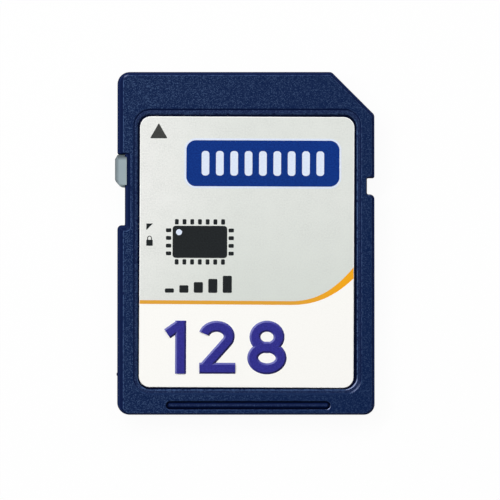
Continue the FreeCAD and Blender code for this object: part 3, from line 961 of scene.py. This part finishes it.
table_mesh = bpy.data.meshes.new("table")
corners = np.array([[-1, -1], [1, -1], [1, 1], [-1, 1]]) * TABLE_HALF
table_mesh.from_pydata(np.column_stack([corners, np.full(4, -TABLE_DROP)]), [], [[0, 1, 2, 3]])
table = bpy.data.objects.new("table", table_mesh)
bpy.context.scene.collection.objects.link(table)
table_paint = bpy.data.materials.new("table_white")
table_paint.use_nodes = True
table_tree = Tree(table_paint.node_tree)
matt = table_tree.node("ShaderNodeBsdfDiffuse", inputs={"Color": TABLE_WHITE})
glow = table_tree.node("ShaderNodeEmission", inputs={"Color": GLOW_WHITE, "Strength": 1.0})
shine = {0: seen_directly(table_tree) * GLOW_SHARE, 1: matt, 2: glow}
table_shader = table_tree.node("ShaderNodeMixShader", inputs=shine)
plug(table_paint.node_tree, table_shader, table_paint.node_tree.nodes["Material Output"].inputs["Surface"])
table_mesh.materials.append(table_paint)
print("table", 2 * TABLE_HALF, "m wide")

# %% [markdown]
# ## The sky
# What the camera and mirrors see of the sky is white near the horizon and dim overhead, because a flat
# card seen from above would mirror a bright ceiling as haze. The light that it sheds on matt surfaces is
# one even, weak fill. Big white boards round the card would do the same, but a sky needs no room.

# %% Sky
SKY_FILL, SKY_OVERHEAD = 0.26, 0.12
# How far a view must point up for the sky to begin to dim, and to be dim
SKY_DIMS = (0.35, 0.75)
sky = bpy.data.worlds.new("studio_sky")
bpy.context.scene.world = sky
sky.use_nodes = True
sky_tree = Tree(sky.node_tree)
direction = sky_tree.node("ShaderNodeTexCoord", output="Generated")
upward = sky_tree.node("ShaderNodeSeparateXYZ", inputs={"Vector": direction}, output="Z")
shown = 1.0 - upward.ramp(*SKY_DIMS) * (1.0 - SKY_OVERHEAD)
seen = seen_directly(sky_tree)
background = sky.node_tree.nodes["Background"]
background.inputs["Color"].default_value = GLOW_WHITE
plug(sky.node_tree, seen * shown + (1.0 - seen) * SKY_FILL, background.inputs["Strength"])
print("sky fill", SKY_FILL, "and overhead", SKY_OVERHEAD)

# %% [markdown]
# ## Lamps
# A long soft strip lamp stands to the front left, and lights each edge that faces it; the thin bright
# lines on the covers' edges are painted highlights as well.
# A square, weaker lamp at the front right keeps the other walls from going black. Small lamps would do
# too, but their hard shadows and sharp glints are not those of a soft studio.

# %% Soft lamps


def aim_at(thing, place, target):
    """Puts an object at a place with its -Z axis pointing at the target."""
    thing.location = place
    thing.rotation_euler = (target - place).to_track_quat("-Z", "Y").to_euler()


def soft_lamp(name, azimuth, elevation, distance, size, power):
    """Area lamp that faces the card from an azimuth (from +X towards +Y) and elevation in degrees."""
    turn, tilt = np.radians([azimuth, elevation])
    lamp = bpy.data.lights.new(name, "AREA")
    lamp.shape = "RECTANGLE"
    lamp.size, lamp.size_y = size
    lamp.energy = power
    thing = bpy.data.objects.new(name, lamp)
    bpy.context.scene.collection.objects.link(thing)
    away = np.array([np.cos(turn) * np.cos(tilt), np.sin(turn) * np.cos(tilt), np.sin(tilt)])
    aim_at(thing, Vector(distance * away), Vector((0.0, 0.0, 0.0)))
    print(f"{name}: {power} W, {distance} m away")


soft_lamp("strip_lamp", azimuth=135, elevation=46, distance=0.5, size=(0.7, 0.1), power=2.78)
soft_lamp("fill_lamp", azimuth=45, elevation=42, distance=0.6, size=(0.4, 0.4), power=0.9)

# %% [markdown]
# ## Camera
# The camera looks almost straight down, from a degree and a half towards the rear edge, through a long
# lens, and frames the card as the photograph does: 10.7 pixels to a millimetre in a picture 500 pixels
# wide. The focal length follows from that scale and the distance, so it is worked out and not tried.

# %% Camera
PICTURE, PIXELS_PER_MM = 500, 10.72
AIM = np.array([0.38, -0.64, 2.0]) * MM
CAMERA_DISTANCE, CAMERA_ELEVATION = 0.35, np.radians(88.6)
lens = bpy.data.cameras.new("camera")
lens.sensor_width = 36.0
lens.lens = lens.sensor_width * CAMERA_DISTANCE / (PICTURE / PIXELS_PER_MM * MM)
lens.clip_start = 0.01
lens.clip_end = 20.0
camera = bpy.data.objects.new("camera", lens)
bpy.context.scene.collection.objects.link(camera)
back = np.array([0.0, -np.cos(CAMERA_ELEVATION), np.sin(CAMERA_ELEVATION)]) * CAMERA_DISTANCE
aim_at(camera, Vector(AIM + back), Vector(AIM))
bpy.context.scene.camera = camera
bpy.context.scene.view_settings.view_transform = "Standard"
print("lens", round(lens.lens, 1), "mm")
